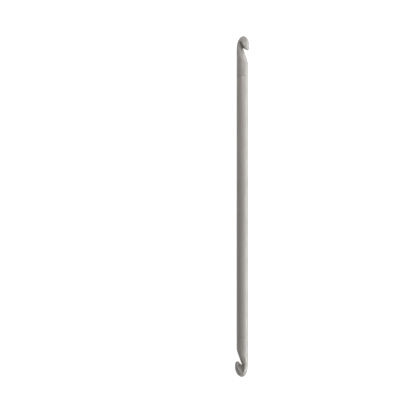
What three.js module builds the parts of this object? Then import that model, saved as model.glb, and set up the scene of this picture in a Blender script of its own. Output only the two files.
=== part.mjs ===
// Double-ended crochet hook: a plastic tube with the same moulded hook bonded into each end.
// It lies on a table along Y. The origin is under the middle of the tube, and +Z is up.
import * as THREE from 'three';

// Driving sizes, in millimetres
const overallLength = 350;
const tubeDiameter = 12;
const tubeWall = 2;
const endLength = 42.1;
const endDiameter = 11.9;
const edgeBevel = 0.15;
const spigotLength = 20;
const spigotClearance = 0.1;
const spigotLeadIn = 1;

// Head and throat of the moulding, seen from its side: u runs out to the lip, w runs down from the tip
const tipOffset = 0.65;
const headDepth = 10.3;
const headReach = 7.7;
const backFullness = 2.1;
const lipCentreU = 5.75;
const lipCentreW = 14;
const lipRadius = 1.55;
const lipLean = 12;
const rootCentreU = 1.2;
const rootCentreW = 13.4;
const rootRadius = 0.6;
const throatLean = 22;
const throatTop = 29.2;
const neckWaist = 15;
const neckShoulder = 24;

// Half widths of the moulding across its side view
const shaftHalfWidth = 6.55;
const neckHalfWidth = 4.5;
const headHalfWidth = 5.6;
const lipHalfWidth = 5.2;
const undersideHalfWidth = 3.6;
const webHalfWidth = 0.4;

// Angle of each throat about the shaft: 0 faces +X, 90 faces up
const upperThroatAngle = 36.5;
const lowerThroatAngle = 190.5;

// Facets
const sides = 32;
const neckSteps = 12;
const headSteps = 36;
const tubeBay = 40;
const sectionSteps = 200;
const curveSteps = 40;
const thinnest = 1e-6;

const radians = THREE.MathUtils.degToRad;
const mix = THREE.MathUtils.lerp;
const tubeRadius = tubeDiameter / 2;
const boreRadius = tubeRadius - tubeWall;
const endRadius = endDiameter / 2;
const spigotRadius = boreRadius - spigotClearance;
const seamY = overallLength / 2 - endLength;
const axisHeight = tubeRadius * Math.cos(Math.PI / sides);

const tubePlastic = new THREE.MeshStandardMaterial({ color: 0xa39f97, roughness: 0.42, metalness: 0 });
const endPlastic = new THREE.MeshStandardMaterial({ color: 0x9d9a93, roughness: 0.38, metalness: 0 });

const point = (u, w) => new THREE.Vector2(u, w);

// Points of the arc about a centre, from one angle to another
function arc(centreU, centreW, radius, from, to) {
  return Array.from({ length: curveSteps + 1 }, (_, i) => {
    const angle = mix(from, to, i / curveSteps);
    return point(centreU + radius * Math.cos(angle), centreW + radius * Math.sin(angle));
  });
}

// The point at a share of a polyline's length
function along(path, share) {
  const lengths = path.map((p, i) => (i ? p.distanceTo(path[i - 1]) : 0));
  let left = share * lengths.reduce((sum, d) => sum + d, 0);
  for (let i = 1; i < path.length; i++) {
    if (left <= lengths[i]) return path[i - 1].clone().lerp(path[i], left / lengths[i]);
    left -= lengths[i];
  }
  return path[path.length - 1].clone();
}

// Underside of the lip: the line that touches the root's circle on one side and the lip's on the other
const lipFromRoot = point(lipCentreU - rootCentreU, lipCentreW - rootCentreW);
const undersideAngle = lipFromRoot.angle() + Math.asin((rootRadius + lipRadius) / lipFromRoot.length());

// Root of the throat, from the neck's face round to the underside of the lip
const throatRoot = arc(
  rootCentreU, rootCentreW, rootRadius, Math.PI - radians(throatLean), undersideAngle + 1.5 * Math.PI,
);

// Outer edge of the side view, up the back, over the tip, down the lip and round its end
function outerEdge() {
  const turn = (i) => (i / curveSteps) * (Math.PI / 2);
  const backReach = endRadius + tipOffset;
  const back = Array.from({ length: curveSteps + 1 }, (_, i) => point(
    tipOffset - backReach * Math.cos(turn(i)) ** (2 / backFullness),
    throatRoot[0].y * (1 - Math.sin(turn(i)) ** (2 / backFullness)),
  ));
  const front = Array.from({ length: curveSteps + 1 }, (_, i) => point(
    tipOffset + (headReach - tipOffset) * Math.sin(turn(i)),
    headDepth * (1 - Math.cos(turn(i))),
  ));
  const lean = radians(lipLean);
  const lipStart = point(lipCentreU + lipRadius * Math.cos(lean), lipCentreW + lipRadius * Math.sin(lean));
  const corner = point(headReach, lipStart.y - (headReach - lipStart.x) / Math.tan(lean));
  const lipSide = new THREE.QuadraticBezierCurve(point(headReach, headDepth), corner, lipStart);
  const lipEnd = arc(lipCentreU, lipCentreW, lipRadius, lean, undersideAngle + Math.PI / 2);
  return [...back, ...front.slice(1), ...lipSide.getPoints(curveSteps).slice(1), ...lipEnd.slice(1)];
}

// Inner face of the neck, from the round shaft down to the root of the throat
function throatFace() {
  const foot = throatRoot[0];
  const corner = point(endRadius, foot.y + (endRadius - foot.x) / Math.tan(radians(throatLean)));
  return new THREE.QuadraticBezierCurve(point(endRadius, throatTop), corner, foot).getPoints(curveSteps);
}

// Eases from 0 to 1 between two values
const ease = (value, from, to) => THREE.MathUtils.smoothstep(value, from, to);

// Shape of the head's sections at shares of the way round the outer edge: up the back, over the tip and down
// to the underside of the lip. half is the greatest height of the flanks; near and mid are the heights of the
// inner side at two depths from its edge; the outer side rises as a power of the depth from its own edge and
// bends over; sharp says how tight the corners are. Low near values make the crease beside the root
const nearDepth = 2;
const midDepth = 5;
const headStations = [
  { share: 0, half: neckHalfWidth, near: 3.7, mid: 7.4, outer: 3.45, power: 0.5, bend: endRadius, sharp: 14 },
  { share: 0.13, half: 5, near: 2.8, mid: 6.7, outer: 3.15, power: 0.5, bend: 7.5, sharp: 20 },
  { share: 0.25, half: 5.4, near: 1.8, mid: 5.1, outer: 2.7, power: 0.53, bend: 12, sharp: 20 },
  { share: 0.32, half: 5.5, near: 0.9, mid: 3.9, outer: 2.35, power: 0.57, bend: 17, sharp: 14 },
  { share: 0.36, half: headHalfWidth, near: 0.35, mid: 3.15, outer: 2.15, power: 0.6, bend: 21, sharp: 12 },
  { share: 0.41, half: headHalfWidth, near: 0.9, mid: 3.8, outer: 1.95, power: 0.61, bend: 25, sharp: 14 },
  { share: 0.5, half: headHalfWidth, near: 1.85, mid: 4.75, outer: 1.96, power: 0.6, bend: 25, sharp: 22 },
  { share: 0.6, half: headHalfWidth, near: 2.55, mid: 6.4, outer: 1.97, power: 0.6, bend: 25, sharp: 24 },
  { share: 0.7, half: headHalfWidth, near: 3.05, mid: 7.7, outer: 2.58, power: 0.5, bend: 18, sharp: 24 },
  { share: 0.8, half: headHalfWidth, near: 3.2, mid: 8, outer: 3, power: 0.48, bend: 14, sharp: 20 },
  { share: 0.9, half: lipHalfWidth, near: 2.45, mid: 6, outer: 3.2, power: 0.48, bend: 10, sharp: 12 },
  { share: 1, half: undersideHalfWidth, near: 1.9, mid: 4.2, outer: 2.4, power: 0.5, bend: 8, sharp: 8 },
];

// The same for the neck, by the distance from the tip; its outer side is the round shaft's
const neckStations = [
  { from: throatRoot[0].y, half: neckHalfWidth, near: 3.7, mid: 7.4, sharp: 14 },
  { from: 15.5, half: neckHalfWidth, near: 4, mid: 7.4, sharp: 16 },
  { from: 19, half: 4.8, near: 4.15, mid: 7.1, sharp: 18 },
  { from: 23, half: 5.6, near: 5, mid: 8, sharp: 18 },
  { from: 27, half: shaftHalfWidth, near: 6.6, mid: 9.6, sharp: 12 },
  { from: throatTop, half: shaftHalfWidth, near: 8.2, mid: 11.2, sharp: 10 },
];

// How fast the throat's floor rounds over into its sides
const floorHeight = 4.2;
const floorPower = 0.6;

// Share of the neck over which the throat's floor grows out of the round shaft
const floorStart = 0.45;

// The shape at a value of the key that the stations go by, between the two on either side of it
function shapeAt(stations, key, value) {
  const next = Math.max(1, stations.findIndex((station) => station[key] >= value));
  const [before, after] = [stations[next - 1], stations[next]];
  const amount = (value - before[key]) / (after[key] - before[key]);
  return Object.fromEntries(Object.keys(after).map((name) => [name, mix(before[name], after[name], amount)]));
}

// One closed section, from its outer point round its inner point and back.
// cut says how far the inner side is formed, and pinch how far the flanks are
function section(inner, outer, shape, cut = 1, pinch = 1) {
  const length = inner.distanceTo(outer);
  const outline = Array.from({ length: sectionSteps + 1 }, (_, i) => {
    const depth = (length * (1 - Math.cos((i / sectionSteps) * Math.PI))) / 2;
    const left = length - depth;
    const total = [
      [cut, floorHeight * depth ** floorPower],
      [cut, Math.max(mix(shape.near, shape.mid, (depth - nearDepth) / (midDepth - nearDepth)), webHalfWidth)],
      [pinch, shape.half],
      [1, shape.outer * left ** shape.power * Math.sqrt(Math.max(1 - left / (2 * shape.bend), 0))],
    ].reduce((sum, [weight, limit]) => sum + weight * Math.max(limit, thinnest) ** -shape.sharp, 0);
    return point(depth / length, i % sectionSteps ? total ** (-1 / shape.sharp) / length : 0);
  });
  return Array.from({ length: sides }, (_, i) => {
    const place = along(outline, Math.abs(1 - (2 * i) / sides));
    const across = length * place.y * (2 * i > sides ? -1 : 1);
    const w = mix(inner.y, outer.y, place.x);
    return new THREE.Vector3(mix(inner.x, outer.x, place.x), endLength - w, across);
  });
}

function disc(radius, w) {
  return Array.from({ length: sides }, (_, i) => {
    const turn = (i / sides) * 2 * Math.PI;
    return new THREE.Vector3(-radius * Math.cos(turn), endLength - w, radius * Math.sin(turn));
  });
}

// Sections of the neck: round at the shaft, and roof-shaped towards the throat at the root
function neckSections() {
  const face = throatFace();
  return Array.from({ length: neckSteps }, (_, i) => {
    const inner = along(face, i / neckSteps);
    const shape = { ...headStations[0], ...shapeAt(neckStations, 'from', inner.y) };
    const pinch = 1 - ease(inner.y, neckWaist, neckShoulder);
    return section(inner, point(-endRadius, inner.y), shape, ease(i / neckSteps, 0, floorStart), pinch);
  });
}

// Sections of the head: they turn about the root of the throat, from the back over the tip to the lip
function headSections() {
  const edge = outerEdge();
  return Array.from({ length: headSteps + 1 }, (_, i) => {
    const share = i / headSteps;
    return section(along(throatRoot, share), along(edge, share), shapeAt(headStations, 'share', share));
  });
}

// Closed skin over a row of sections, with a point in the middle of each end
function skin(rings) {
  const middle = (ring) => ring.reduce((sum, p) => sum.add(p), new THREE.Vector3()).divideScalar(sides);
  const points = [middle(rings[0]), ...rings.flat(), middle(rings[rings.length - 1])];
  const at = (ring, i) => 1 + ring * sides + (i % sides);
  const last = points.length - 1;
  const triangles = [];
  for (let i = 0; i < sides; i++) {
    triangles.push(0, at(0, i + 1), at(0, i));
    for (let ring = 0; ring < rings.length - 1; ring++) {
      triangles.push(at(ring, i), at(ring + 1, i + 1), at(ring + 1, i));
      triangles.push(at(ring, i), at(ring, i + 1), at(ring + 1, i + 1));
    }
    triangles.push(last, at(rings.length - 1, i), at(rings.length - 1, i + 1));
  }
  const geometry = new THREE.BufferGeometry().setFromPoints(points);
  geometry.setIndex(triangles);
  geometry.computeVertexNormals();
  return geometry;
}

// The moulding: its spigot, the shoulder that meets the tube, the neck and the head
function hookEnd() {
  return skin([
    disc(spigotRadius - spigotLeadIn / 2, endLength + spigotLength),
    disc(spigotRadius, endLength + spigotLength - spigotLeadIn),
    disc(spigotRadius, endLength),
    disc(endRadius - edgeBevel, endLength),
    disc(endRadius, endLength - edgeBevel),
    ...neckSections(),
    ...headSections(),
  ]);
}

// The tube, turned about Y so that a flat facet faces down
function shaftTube() {
  const outline = [
    [boreRadius, -seamY],
    [tubeRadius - edgeBevel, -seamY],
    [tubeRadius, edgeBevel - seamY],
    [tubeRadius, tubeBay],
    [tubeRadius, seamY - edgeBevel],
    [tubeRadius - edgeBevel, seamY],
    [boreRadius, seamY],
    [boreRadius, -seamY],
  ].map(([x, y]) => point(x, y));
  return new THREE.LatheGeometry(outline, sides, Math.PI / sides);
}

function named(name, geometry, material) {
  const mesh = new THREE.Mesh(geometry, material);
  mesh.name = name;
  return mesh;
}

// A moulding set on the tube's end, with its throat turned to an angle; the lower one is end for end
function placedEnd(name, throatAngle, turnOver) {
  const end = named(name, hookEnd(), endPlastic);
  end.position.y = seamY;
  const facing = new THREE.Group();
  facing.rotation.x = turnOver;
  facing.add(end);
  const holder = new THREE.Group();
  holder.rotation.y = -radians(throatAngle);
  holder.add(facing);
  return holder;
}

const hook = new THREE.Group();
hook.position.z = axisHeight;
hook.add(named('shaft_tube', shaftTube(), tubePlastic));
hook.add(placedEnd('upper_hook_end', upperThroatAngle, 0));
hook.add(placedEnd('lower_hook_end', lowerThroatAngle, Math.PI));

export default hook;
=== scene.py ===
import math

import bpy
import numpy as np
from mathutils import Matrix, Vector


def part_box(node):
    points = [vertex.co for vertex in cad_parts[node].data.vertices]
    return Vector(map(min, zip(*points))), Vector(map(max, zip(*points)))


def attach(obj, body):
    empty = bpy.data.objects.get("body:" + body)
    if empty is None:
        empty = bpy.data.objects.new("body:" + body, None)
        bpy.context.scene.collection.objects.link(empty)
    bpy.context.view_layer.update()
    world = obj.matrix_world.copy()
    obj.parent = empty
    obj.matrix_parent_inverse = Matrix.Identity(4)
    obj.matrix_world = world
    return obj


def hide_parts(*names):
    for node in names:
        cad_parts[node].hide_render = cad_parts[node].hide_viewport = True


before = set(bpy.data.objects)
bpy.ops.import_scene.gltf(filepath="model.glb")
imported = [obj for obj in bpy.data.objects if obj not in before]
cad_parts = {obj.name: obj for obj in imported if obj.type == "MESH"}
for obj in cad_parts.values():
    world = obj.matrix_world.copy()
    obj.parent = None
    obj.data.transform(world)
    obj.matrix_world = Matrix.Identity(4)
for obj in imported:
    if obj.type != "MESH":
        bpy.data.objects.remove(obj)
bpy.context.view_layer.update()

mm = 0.001
tubeLow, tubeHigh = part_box("shaft_tube")
axisHeight = (tubeLow.z + tubeHigh.z) / 2
seamY = tubeHigh.y
print("frame loaded")


# Small helpers

def smooth(value, low, high):
    t = np.clip((value - low) / (high - low), 0, 1)
    return t * t * (3 - 2 * t)


def mix(a, b, t):
    return a + (b - a) * t


def arcPoints(centre, radius, start, end, steps=60):
    angles = np.linspace(start, end, steps)
    return np.stack([centre[0] + radius * np.cos(angles), centre[1] + radius * np.sin(angles)], 1)


def bezierPoints(a, b, c, steps=60):
    t = np.linspace(0, 1, steps)[:, None]
    return (1 - t) ** 2 * np.array(a) + 2 * t * (1 - t) * np.array(b) + t ** 2 * np.array(c)


def along(path, shares):
    steps = np.linalg.norm(np.diff(path, axis=0), axis=1)
    run = np.concatenate([[0], np.cumsum(steps)]) / steps.sum()
    return np.stack([np.interp(shares, run, path[:, 0]), np.interp(shares, run, path[:, 1])], 1)


def throughStations(stations, key, places):    # a smooth curve through listed values
    at = np.array([station["at"] for station in stations])
    values = np.array([station[key] for station in stations])
    slopes = np.gradient(values, at)
    i = np.clip(np.searchsorted(at, places, side="right") - 1, 0, len(at) - 2)
    gap = at[i + 1] - at[i]
    t = (places - at[i]) / gap
    return (
        values[i] * (1 + 2 * t) * (1 - t) ** 2 + values[i + 1] * t * t * (3 - 2 * t)
        + gap * (slopes[i] * t * (1 - t) ** 2 - slopes[i + 1] * t * t * (1 - t))
    )


def makePiece(name, points, faces, material, node):
    mesh = bpy.data.meshes.new(name)
    mesh.from_pydata([tuple(p) for p in points], [], faces)
    mesh.update()
    mesh.polygons.foreach_set("use_smooth", [True] * len(mesh.polygons))
    mesh.materials.append(material)
    piece = bpy.data.objects.new(name, mesh)
    bpy.context.scene.collection.objects.link(piece)
    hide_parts(node)
    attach(piece, "root")


def ringFaces(ringCount, sides, closed=False):
    faces = []
    for ring in range(ringCount if closed else ringCount - 1):
        here, there = ring * sides, (ring + 1) % ringCount * sides
        for i in range(sides):
            j = (i + 1) % sides
            faces.append((here + i, here + j, there + j, there + i))
    return faces


# Satin plastic: faint mottling, roughness that varies a little where hands have rubbed it, and a fine grain

noiseRange = (0.3, 0.7)                 # what nearly all of the noise stays within
noiseDetail = {"mottle": 5, "rub": 3, "grain": 2}


def plastic(look):
    material = bpy.data.materials.new(look["name"])
    material.use_nodes = True
    tree = material.node_tree
    tree.nodes.clear()

    def noise(name):
        place = tree.nodes.new("ShaderNodeMapping")
        place.inputs["Scale"].default_value = look[name + "Stretch"]
        tree.links.new(where.outputs["Object"], place.inputs["Vector"])
        made = tree.nodes.new("ShaderNodeTexNoise")
        made.inputs["Scale"].default_value = look[name + "Scale"]
        made.inputs["Detail"].default_value = noiseDetail[name]
        tree.links.new(place.outputs["Vector"], made.inputs["Vector"])
        return made.outputs["Fac"]

    where = tree.nodes.new("ShaderNodeTexCoord")
    shader = tree.nodes.new("ShaderNodeBsdfPrincipled")
    shader.inputs["Specular IOR Level"].default_value = look["specular"]
    out = tree.nodes.new("ShaderNodeOutputMaterial")
    tree.links.new(shader.outputs["BSDF"], out.inputs["Surface"])

    ramp = tree.nodes.new("ShaderNodeValToRGB")
    shades = zip(ramp.color_ramp.elements, noiseRange, (look["darker"], look["lighter"]))
    for element, position, shade in shades:
        element.position = position
        element.color = (*shade, 1)
    tree.links.new(noise("mottle"), ramp.inputs["Fac"])
    tree.links.new(ramp.outputs["Color"], shader.inputs["Base Color"])

    rub = tree.nodes.new("ShaderNodeMapRange")
    rub.inputs["From Min"].default_value, rub.inputs["From Max"].default_value = noiseRange
    rub.inputs["To Min"].default_value, rub.inputs["To Max"].default_value = look["roughness"]
    tree.links.new(noise("rub"), rub.inputs["Value"])
    tree.links.new(rub.outputs["Result"], shader.inputs["Roughness"])

    bump = tree.nodes.new("ShaderNodeBump")
    bump.inputs["Strength"].default_value = look["grainStrength"]
    bump.inputs["Distance"].default_value = look["grainHeight"]
    tree.links.new(noise("grain"), bump.inputs["Height"])
    tree.links.new(bump.outputs["Normal"], shader.inputs["Normal"])
    return material


# The shaft: a hollow extruded tube, cut square with its edges just broken

tube = {
    "wall": 2.0,
    "edgeRadius": 0.15,
    "edgeSteps": 5,
    "sides": 256,
    "bays": 24,
}
tubeLook = {
    "name": "tubePlastic",
    "darker": (0.355, 0.336, 0.305),
    "lighter": (0.395, 0.376, 0.345),
    "specular": 0.45,
    "mottleScale": 120.0,
    "mottleStretch": (1, 0.25, 1),
    "rubScale": 300.0,
    "rubStretch": (1, 0.05, 1),
    "roughness": (0.30, 0.38),
    "grainScale": 2200.0,
    "grainStretch": (1, 0.02, 1),       # drawn out along the tube by the die
    "grainStrength": 0.25,
    "grainHeight": 0.02 * mm,
}


def makeTube():
    radius = axisHeight / mm
    bore = radius - tube["wall"]
    end = seamY / mm
    edge = tube["edgeRadius"]
    corner = arcPoints((radius - edge, end - edge), edge, 0, math.pi / 2, tube["edgeSteps"])
    bays = np.linspace(edge - end, end - edge, tube["bays"])[1:-1]
    outline = [
        *[(x, -y) for x, y in corner[::-1]],
        *[(radius, y) for y in bays],
        *corner,
        (bore, end),
        (bore, 0),
        (bore, -end),
    ]
    turns = np.linspace(0, 2 * math.pi, tube["sides"], endpoint=False)
    points = []
    for r, y in outline:
        for turn in turns:
            points.append((r * mm * math.cos(turn), y * mm, axisHeight + r * mm * math.sin(turn)))
    faces = ringFaces(len(outline), tube["sides"], closed=True)
    makePiece("shaftTube", points, faces, plastic(tubeLook), "shaft_tube")


# One hook moulding in millimetres, seen from its side: u runs out to the lip and w runs down from the tip

hookEnd = {
    "length": 42.1,
    "radius": 5.95,
    "edgeRadius": 0.15,
    "edgeSteps": 5,
    "seamWidth": 0.18,              # of the hairline groove where the moulding meets the tube
    "seamDepth": 0.4,
    "spigotRadius": 3.9,
    "spigotLength": 20.0,
    "spigotLeadIn": 1.0,
    "tipOffset": 0.65,
    "headDepth": 10.3,
    "headReach": 7.7,
    "backFullness": 2.1,
    "lipCentre": (5.75, 14.0),
    "lipRadius": 1.55,
    "lipLean": 12.0,
    "rootCentre": (1.2, 13.4),
    "rootRadius": 0.6,
    "throatLean": 22.0,
    "throatTop": 29.2,
    "floorStart": 0.45,             # share of the neck over which the throat's floor grows
    "web": 0.4,                     # least half thickness beside the root
    "neckWaist": 15.0,
    "neckShoulder": 24.0,
    "sides": 128,
    "outlineSteps": 400,
    "curveSteps": 90,
    "neckRings": 60,
    "headRings": 150,
    "capRings": 6,
}
thinnest = 1e-6

# Shape of the moulding's sections, at shares of the way round the head's outer edge: up the back, over the
# tip and down to the lip's underside. Half is the greatest height of the flanks. The inner side is as high as
# near and mid at these depths from its edge. The outer side is rise times a power of the depth from its own
# edge, and it bends over. Sharp says how tight the corners are
innerDepths = (2.0, 5.0)
floorEdge = {"height": 4.2, "power": 0.6}    # how fast the throat's floor rounds over into its sides
headStations = [
    {"at": 0, "half": 4.5, "near": 3.7, "mid": 7.4, "rise": 3.45, "power": 0.5, "bend": 5.95, "sharp": 14},
    {"at": 0.13, "half": 5, "near": 2.8, "mid": 6.7, "rise": 3.15, "power": 0.5, "bend": 7.5, "sharp": 20},
    {"at": 0.25, "half": 5.4, "near": 1.8, "mid": 5.1, "rise": 2.7, "power": 0.53, "bend": 12, "sharp": 20},
    {"at": 0.32, "half": 5.5, "near": 0.9, "mid": 3.9, "rise": 2.35, "power": 0.57, "bend": 17, "sharp": 14},
    {"at": 0.36, "half": 5.6, "near": 0.35, "mid": 3.15, "rise": 2.15, "power": 0.6, "bend": 21, "sharp": 12},
    {"at": 0.41, "half": 5.6, "near": 0.9, "mid": 3.8, "rise": 1.95, "power": 0.61, "bend": 25, "sharp": 14},
    {"at": 0.5, "half": 5.6, "near": 1.85, "mid": 4.75, "rise": 1.96, "power": 0.6, "bend": 25, "sharp": 22},
    {"at": 0.6, "half": 5.6, "near": 2.55, "mid": 6.4, "rise": 1.97, "power": 0.6, "bend": 25, "sharp": 24},
    {"at": 0.7, "half": 5.6, "near": 3.05, "mid": 7.7, "rise": 2.58, "power": 0.5, "bend": 18, "sharp": 24},
    {"at": 0.8, "half": 5.6, "near": 3.2, "mid": 8, "rise": 3, "power": 0.48, "bend": 14, "sharp": 20},
    {"at": 0.9, "half": 5.2, "near": 2.45, "mid": 6, "rise": 3.2, "power": 0.48, "bend": 10, "sharp": 12},
    {"at": 1, "half": 3.6, "near": 1.9, "mid": 4.2, "rise": 2.4, "power": 0.5, "bend": 8, "sharp": 8},
]

# The same for the neck, by the distance from the tip
neckStations = [
    {"at": 13.62, "half": 4.5, "near": 3.7, "mid": 7.4, "sharp": 14},
    {"at": 15.5, "half": 4.5, "near": 4, "mid": 7.4, "sharp": 16},
    {"at": 19, "half": 4.8, "near": 4.15, "mid": 7.1, "sharp": 18},
    {"at": 23, "half": 5.6, "near": 5, "mid": 8, "sharp": 18},
    {"at": 27, "half": 6.55, "near": 6.6, "mid": 9.6, "sharp": 12},
    {"at": 29.2, "half": 6.55, "near": 8.2, "mid": 11.2, "sharp": 10},
]

endLook = {
    "name": "hookPlastic",
    "darker": (0.340, 0.326, 0.305),
    "lighter": (0.385, 0.370, 0.348),
    "specular": 0.5,
    "mottleScale": 150.0,
    "mottleStretch": (1, 1, 1),
    "rubScale": 260.0,
    "rubStretch": (1, 1, 1),
    "roughness": (0.28, 0.37),
    "grainScale": 2600.0,
    "grainStretch": (1, 1, 1),
    "grainStrength": 0.2,
    "grainHeight": 0.015 * mm,
}


def sectionPoints(inner, outer, shape, cut=1.0, pinch=1.0):
    inner, outer = np.array(inner), np.array(outer)
    length = np.linalg.norm(outer - inner)
    turn = np.linspace(0, math.pi, hookEnd["outlineSteps"])
    depth = length * (1 - np.cos(turn)) / 2    # from the inner side outwards
    left = length - depth
    slope = (shape["mid"] - shape["near"]) / (innerDepths[1] - innerDepths[0])
    limits = [
        (cut, floorEdge["height"] * depth ** floorEdge["power"]),
        (cut, np.maximum(shape["near"] + slope * (depth - innerDepths[0]), hookEnd["web"])),
        (pinch, np.full(depth.shape, shape["half"])),
        (1, shape["rise"] * left ** shape["power"] * np.sqrt(np.maximum(1 - left / (2 * shape["bend"]), 0))),
    ]
    sharp = shape["sharp"]
    across = sum(weight * np.maximum(limit, thinnest) ** -sharp for weight, limit in limits) ** (-1 / sharp)
    across[[0, -1]] = 0
    run = np.concatenate([[0], np.cumsum(np.hypot(np.diff(depth), np.diff(across)))])
    at = np.linspace(0, run[-1], hookEnd["sides"] // 2 + 1)
    share, across = np.interp(at, run, depth) / length, np.interp(at, run, across)
    share = np.concatenate([share[::-1], share[1:-1]])
    across = np.concatenate([across[::-1], -across[1:-1]])
    u = mix(inner[0], outer[0], share)
    w = mix(inner[1], outer[1], share)
    return np.stack([u, hookEnd["length"] - w, across], 1)


def disc(radius, w):
    turn = np.linspace(0, 2 * math.pi, hookEnd["sides"], endpoint=False)
    rise = np.full(turn.shape, hookEnd["length"] - w)
    return np.stack([-radius * np.cos(turn), rise, radius * np.sin(turn)], 1)


def undersideAngle():    # of the line that touches the root's circle on one side and the lip's on the other
    reach = np.subtract(hookEnd["lipCentre"], hookEnd["rootCentre"])
    turn = math.asin((hookEnd["rootRadius"] + hookEnd["lipRadius"]) / np.linalg.norm(reach))
    return math.atan2(reach[1], reach[0]) + turn


def outerEdge():
    turn = np.linspace(0, math.pi / 2, hookEnd["curveSteps"])
    tip, rise, power = hookEnd["tipOffset"], throatRoot()[0][1], 2 / hookEnd["backFullness"]
    across = np.clip(np.cos(turn), 0, 1) ** power
    back = np.stack([tip - (hookEnd["radius"] + tip) * across, rise * (1 - np.sin(turn) ** power)], 1)
    reach, depth = hookEnd["headReach"], hookEnd["headDepth"]
    front = np.stack([tip + (reach - tip) * np.sin(turn), depth * (1 - np.cos(turn))], 1)
    lean = math.radians(hookEnd["lipLean"])
    lipEnd = arcPoints(hookEnd["lipCentre"], hookEnd["lipRadius"], lean, undersideAngle() + math.pi / 2)
    corner = (reach, lipEnd[0][1] - (reach - lipEnd[0][0]) / math.tan(lean))
    lipSide = bezierPoints((reach, depth), corner, lipEnd[0])
    return np.concatenate([back, front[1:], lipSide[1:], lipEnd[1:]])


def throatRoot():
    start = math.pi - math.radians(hookEnd["throatLean"])
    return arcPoints(hookEnd["rootCentre"], hookEnd["rootRadius"], start, undersideAngle() + 1.5 * math.pi)


def throatFace():
    foot, radius = throatRoot()[0], hookEnd["radius"]
    rise = (radius - foot[0]) / math.tan(math.radians(hookEnd["throatLean"]))
    return bezierPoints((radius, hookEnd["throatTop"]), (radius, foot[1] + rise), foot)


def spigotRings():
    radius, length, end = hookEnd["spigotRadius"], hookEnd["length"], hookEnd["spigotLength"]
    leadIn, edge, shoulder = hookEnd["spigotLeadIn"], hookEnd["edgeRadius"], length - hookEnd["seamWidth"]
    seamRadius = hookEnd["radius"] - hookEnd["seamDepth"]
    centre = (hookEnd["radius"] - edge, shoulder - edge)
    corner = arcPoints(centre, edge, math.pi / 2, 0, hookEnd["edgeSteps"])
    return [
        disc(radius - leadIn, length + end),
        disc(radius - leadIn / 2, length + end),
        disc(radius, length + end - leadIn),
        disc(radius, length),
        disc(seamRadius, length),
        disc(seamRadius, shoulder),
        *[disc(r, w) for r, w in corner],
    ]


def neckRings():
    shares = np.linspace(0, 1, hookEnd["neckRings"], endpoint=False)
    inner = along(throatFace(), shares)
    fromTip = inner[:, 1]
    wide = smooth(fromTip, hookEnd["neckWaist"], hookEnd["neckShoulder"])
    cut = smooth(shares, 0, hookEnd["floorStart"])
    keys = [key for key in neckStations[0] if key != "at"]
    curves = {key: throughStations(neckStations, key, fromTip) for key in keys}
    return [
        sectionPoints(
            inner[i],
            (-hookEnd["radius"], fromTip[i]),
            {**headStations[0], **{key: curves[key][i] for key in keys}},
            cut[i],
            1 - wide[i],
        )
        for i in range(len(shares))
    ]


def headRings():
    shares = np.linspace(0, 1, hookEnd["headRings"])
    inner, outer = along(throatRoot(), shares), along(outerEdge(), shares)
    keys = [key for key in headStations[0] if key != "at"]
    curves = {key: throughStations(headStations, key, shares) for key in keys}
    return [
        sectionPoints(inner[i], outer[i], {key: curves[key][i] for key in keys})
        for i in range(len(shares))
    ]


def capRings(last):    # closes the underside of the lip
    middle = last.mean(axis=0)
    return [middle + (last - middle) * (1 - i / hookEnd["capRings"]) for i in range(1, hookEnd["capRings"])]


def makeHookEnd(name, material, node, way, throatAngle):
    rings = [*spigotRings(), *neckRings(), *headRings()]
    rings += capRings(rings[-1])
    local = np.concatenate([*rings, rings[0].mean(axis=0)[None], rings[-1].mean(axis=0)[None]])
    sides, count = hookEnd["sides"], len(rings)
    faces = [face[::-1] for face in ringFaces(count, sides)]
    for i in range(sides):
        j = (i + 1) % sides
        faces.append((count * sides, i, j))
        faces.append((count * sides + 1, (count - 1) * sides + j, (count - 1) * sides + i))
    turn = math.radians(throatAngle)
    u, rise, across = local[:, 0], local[:, 1], local[:, 2] * way
    x = u * math.cos(turn) + across * math.sin(turn)
    z = u * math.sin(turn) - across * math.cos(turn)
    points = np.stack([x * mm, way * (seamY + rise * mm), axisHeight + z * mm], 1)
    makePiece(name, points, faces, material, node)


# The two ends: way is +1 towards +Y, and the throat's angle about the shaft is 0 at +X and 90 at the top

hookEnds = {
    "upperHookEnd": {"node": "upper_hook_end", "way": 1, "throatAngle": 36.5},
    "lowerHookEnd": {"node": "lower_hook_end", "way": -1, "throatAngle": 190.5},
}

makeTube()
print("shaft tube made")
endPlastic = plastic(endLook)
for name, end in hookEnds.items():
    makeHookEnd(name, endPlastic, **end)
print("hook ends made")


# A white table, which shows white to the camera and still takes the hook's shadow

table = {
    "size": 6.0,
    "albedo": 0.55,
    "glow": 0.9,
}


def meetsWhite(tree):    # 1 for the rays that should meet a white background
    path = tree.nodes.new("ShaderNodeLightPath")
    meets = path.outputs["Is Camera Ray"]
    for name in ("Is Glossy Ray", "Is Transmission Ray"):
        larger = tree.nodes.new("ShaderNodeMath")
        larger.operation = "MAXIMUM"
        tree.links.new(meets, larger.inputs[0])
        tree.links.new(path.outputs[name], larger.inputs[1])
        meets = larger.outputs[0]
    return meets


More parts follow.
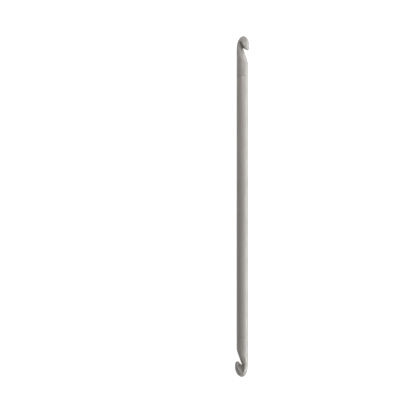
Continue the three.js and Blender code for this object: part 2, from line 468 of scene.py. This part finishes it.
def makeTable():
    half = table["size"] / 2
    mesh = bpy.data.meshes.new("table")
    corners = [(-half, -half, 0), (half, -half, 0), (half, half, 0), (-half, half, 0)]
    mesh.from_pydata(corners, [], [(0, 1, 2, 3)])
    material = bpy.data.materials.new("tableWhite")
    material.use_nodes = True
    tree = material.node_tree
    tree.nodes.clear()
    diffuse = tree.nodes.new("ShaderNodeBsdfDiffuse")
    diffuse.inputs["Color"].default_value = (table["albedo"],) * 3 + (1,)
    glow = tree.nodes.new("ShaderNodeEmission")
    strength = tree.nodes.new("ShaderNodeMath")
    strength.operation = "MULTIPLY"
    strength.inputs[1].default_value = table["glow"]
    tree.links.new(meetsWhite(tree), strength.inputs[0])
    tree.links.new(strength.outputs[0], glow.inputs["Strength"])
    both = tree.nodes.new("ShaderNodeAddShader")
    out = tree.nodes.new("ShaderNodeOutputMaterial")
    tree.links.new(diffuse.outputs[0], both.inputs[0])
    tree.links.new(glow.outputs[0], both.inputs[1])
    tree.links.new(both.outputs[0], out.inputs["Surface"])
    mesh.materials.append(material)
    top = bpy.data.objects.new("table", mesh)
    bpy.context.scene.collection.objects.link(top)


# Lamps, each squarely facing the shaft's line: a long low one along the table on the right, a window beyond
# the upper end, and weaker ones at the right and overhead

coolLight, neutralLight, warmLight = (0.93, 0.975, 1.0), (0.95, 0.98, 1.0), (1.0, 0.965, 0.94)
lamps = {
    "alongTable": {"from": (0.888, 0.0, 0.14), "size": (2.4, 0.26), "watts": 14.5, "colour": coolLight},
    "window": {"from": (0.05, 0.8, 0.9), "size": (0.8, 0.55), "watts": 7.6, "colour": warmLight},
    "lowerRight": {"from": (0.763, -0.8, 0.483), "size": (0.8, 0.1), "watts": 2.8, "colour": neutralLight},
    "midRight": {"from": (0.737, 0.0, 0.516), "size": (0.4, 0.2), "watts": 0.9, "colour": neutralLight},
    "overhead": {"from": (-0.25, -0.4, 0.87), "size": (1.6, 0.3), "watts": 1.6, "colour": warmLight},
}
ambient = {"strength": 0.05, "colour": (1.0, 0.945, 0.91)}


def makeLamps():
    for name, lamp in lamps.items():
        data = bpy.data.lights.new(name, "AREA")
        data.shape = "RECTANGLE"
        data.size, data.size_y = lamp["size"]
        data.energy = lamp["watts"]
        data.color = lamp["colour"]
        made = bpy.data.objects.new(name, data)
        bpy.context.scene.collection.objects.link(made)
        made.location = lamp["from"]
        made.rotation_mode = "QUATERNION"
        x, _, z = lamp["from"]
        made.rotation_quaternion = Vector((-x, 0, -z)).to_track_quat("-Z", "Y")


def makeWorld():
    world = bpy.data.worlds.new("room")
    bpy.context.scene.world = world
    world.use_nodes = True
    tree = world.node_tree
    tree.nodes.clear()
    room = tree.nodes.new("ShaderNodeBackground")
    room.inputs["Color"].default_value = (*ambient["colour"], 1)
    room.inputs["Strength"].default_value = ambient["strength"]
    white = tree.nodes.new("ShaderNodeBackground")
    white.inputs["Color"].default_value = (1, 1, 1, 1)
    either = tree.nodes.new("ShaderNodeMixShader")
    tree.links.new(meetsWhite(tree), either.inputs[0])
    tree.links.new(room.outputs[0], either.inputs[1])
    tree.links.new(white.outputs[0], either.inputs[2])
    out = tree.nodes.new("ShaderNodeOutputWorld")
    tree.links.new(either.outputs[0], out.inputs["Surface"])


# The camera looks straight down, as in the photograph

camera = {
    "distance": 0.50,               # above the shaft's axis
    "sensor": 36.0,
    "imagePixels": 420,
    "pixelsPerMetre": 973.7,        # along the shaft's axis
    "place": (-0.03327, -0.00352),
    "clip": (0.01, 50),
}


def makeCamera():
    data = bpy.data.cameras.new("camera")
    data.sensor_width = camera["sensor"]
    data.lens = camera["sensor"] * camera["distance"] * camera["pixelsPerMetre"] / camera["imagePixels"]
    data.clip_start, data.clip_end = camera["clip"]
    made = bpy.data.objects.new("camera", data)
    bpy.context.scene.collection.objects.link(made)
    made.location = (*camera["place"], axisHeight + camera["distance"])
    bpy.context.scene.camera = made


makeTable()
makeLamps()
makeWorld()
makeCamera()
bpy.context.scene.view_settings.view_transform = "Standard"
print("table, lamps and camera made")
